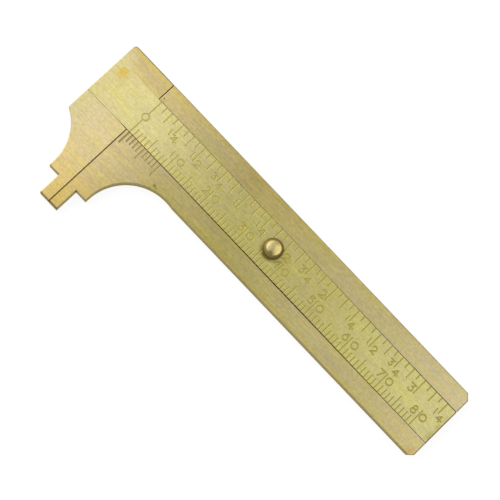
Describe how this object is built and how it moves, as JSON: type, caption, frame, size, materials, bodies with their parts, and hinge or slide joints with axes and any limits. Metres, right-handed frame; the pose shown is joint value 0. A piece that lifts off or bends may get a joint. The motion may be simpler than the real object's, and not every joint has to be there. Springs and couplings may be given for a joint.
{
  "type": "sliding caliper gauge",
  "caption": "Pocket sliding caliper gauge in brushed brass, with shut jaws, a dovetailed scale bar, millimetre, inch and vernier scales and a thumb knob.",
  "frame": {"origin": "on the back face's plane, under the middle of the gauge's box with the jaws shut", "axes": "+X along the scale bar towards the tail, +Y across the bar from the jaws to the inch scale, +Z out of the front face"},
  "size_m": [0.097, 0.034, 0.005],
  "materials": {
    "rail_brass": "brushed along the rails, with rubbed edges",
    "bar_brass": "brushed along the bar, with stamped scales",
    "rivet_brass": "filed flush",
    "knob_brass": "turned",
    "spring_bronze": "rolled strip"
  },
  "bodies": {
    "fixed_body": {"back_plate": "rail_brass", "upper_rail": "rail_brass", "fixed_jaw_rail": "rail_brass", "upper_rail_rivets": "rivet_brass", "lower_rail_rivets": "rivet_brass", "stop_peg": "rivet_brass", "friction_spring": "spring_bronze"},
    "slider": {"scale_bar": "bar_brass", "head_block": "rail_brass", "moving_jaw": "rail_brass", "head_back_plate": "rail_brass", "head_rivets": "rivet_brass", "thumb_knob": "knob_brass"}
  },
  "joints": [
    {"name": "slider_travel", "type": "slide", "parent": "fixed_body", "child": "slider", "axis": [-1, 0, 0], "range_m": [0, 0.08]}
  ]
}
